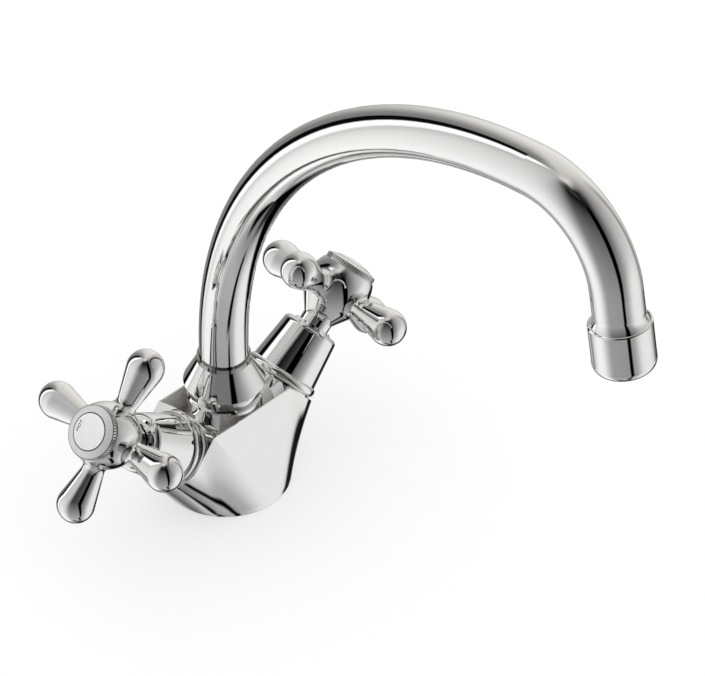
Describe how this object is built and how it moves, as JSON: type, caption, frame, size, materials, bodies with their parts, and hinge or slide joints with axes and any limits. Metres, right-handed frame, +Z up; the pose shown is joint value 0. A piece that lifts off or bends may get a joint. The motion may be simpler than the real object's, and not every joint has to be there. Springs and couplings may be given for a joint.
{
  "type": "kitchen mixer tap",
  "caption": "Deck-mounted kitchen mixer tap with tilted cross handles for hot and cold water, quarter-turn ceramic valves and a swivelling arched tube spout.",
  "frame": {"origin": "centre of the base underside, where the tap stands on the sink deck", "axes": "+Z up along the spout's swivel axis, -Y towards the user along the spout at rest, -X to the hot handle, +X to the cold handle"},
  "size_m": [0.162, 0.2379, 0.2373],
  "materials": {
    "chrome": "polished plating on brass",
    "satin_chrome": "satin plating on the caps",
    "brass": "machined, bare",
    "copper_alloy_spring": "spring bronze",
    "steel": "stainless",
    "ceramic": "lapped",
    "seal_rubber": "soft, matt",
    "bearing_plastic": "moulded acetal",
    "index_plastic": "moulded off-white"
  },
  "bodies": {
    "base": {"body": "chrome", "base_seal": "seal_rubber", "spout_nut": "chrome", "glide_washer": "bearing_plastic", "hot_bonnet": "chrome", "hot_valve_housing": "brass", "hot_fixed_disc": "ceramic", "hot_seat_seal": "seal_rubber", "hot_housing_seal": "seal_rubber", "cold_bonnet": "chrome", "cold_valve_housing": "brass", "cold_fixed_disc": "ceramic", "cold_seat_seal": "seal_rubber", "cold_housing_seal": "seal_rubber"},
    "spout": {"spout_tube": "chrome", "spout_bush": "brass", "lower_spout_seal": "seal_rubber", "upper_spout_seal": "seal_rubber", "split_ring": "copper_alloy_spring", "outlet_ferrule": "chrome", "aerator_housing": "chrome", "aerator_washer": "seal_rubber", "aerator_screen": "steel", "aerator_cartridge": "bearing_plastic"},
    "hot_handle": {"hot_handle": "chrome", "hot_valve_spindle": "brass", "hot_moving_disc": "ceramic", "hot_stem_seal": "seal_rubber", "hot_spindle_clip": "copper_alloy_spring", "hot_handle_screw": "steel", "hot_index_cap": "satin_chrome", "hot_index_disc": "index_plastic"},
    "cold_handle": {"cold_handle": "chrome", "cold_valve_spindle": "brass", "cold_moving_disc": "ceramic", "cold_stem_seal": "seal_rubber", "cold_spindle_clip": "copper_alloy_spring", "cold_handle_screw": "steel", "cold_index_cap": "satin_chrome", "cold_index_disc": "index_plastic"}
  },
  "joints": [
    {"name": "spout_swivel", "type": "hinge", "parent": "base", "child": "spout", "pos_m": [0, 0, 0.047], "axis": [0, 0, 1], "continuous": true},
    {"name": "hot_handle_turn", "type": "hinge", "parent": "base", "child": "hot_handle", "pos_m": [-0.0562, 0, 0.0533], "axis": [-0.766, 0, 0.6428], "range_deg": [0, 90]},
    {"name": "cold_handle_turn", "type": "hinge", "parent": "base", "child": "cold_handle", "pos_m": [0.0562, 0, 0.0533], "axis": [0.766, 0, 0.6428], "range_deg": [0, 90]}
  ]
}
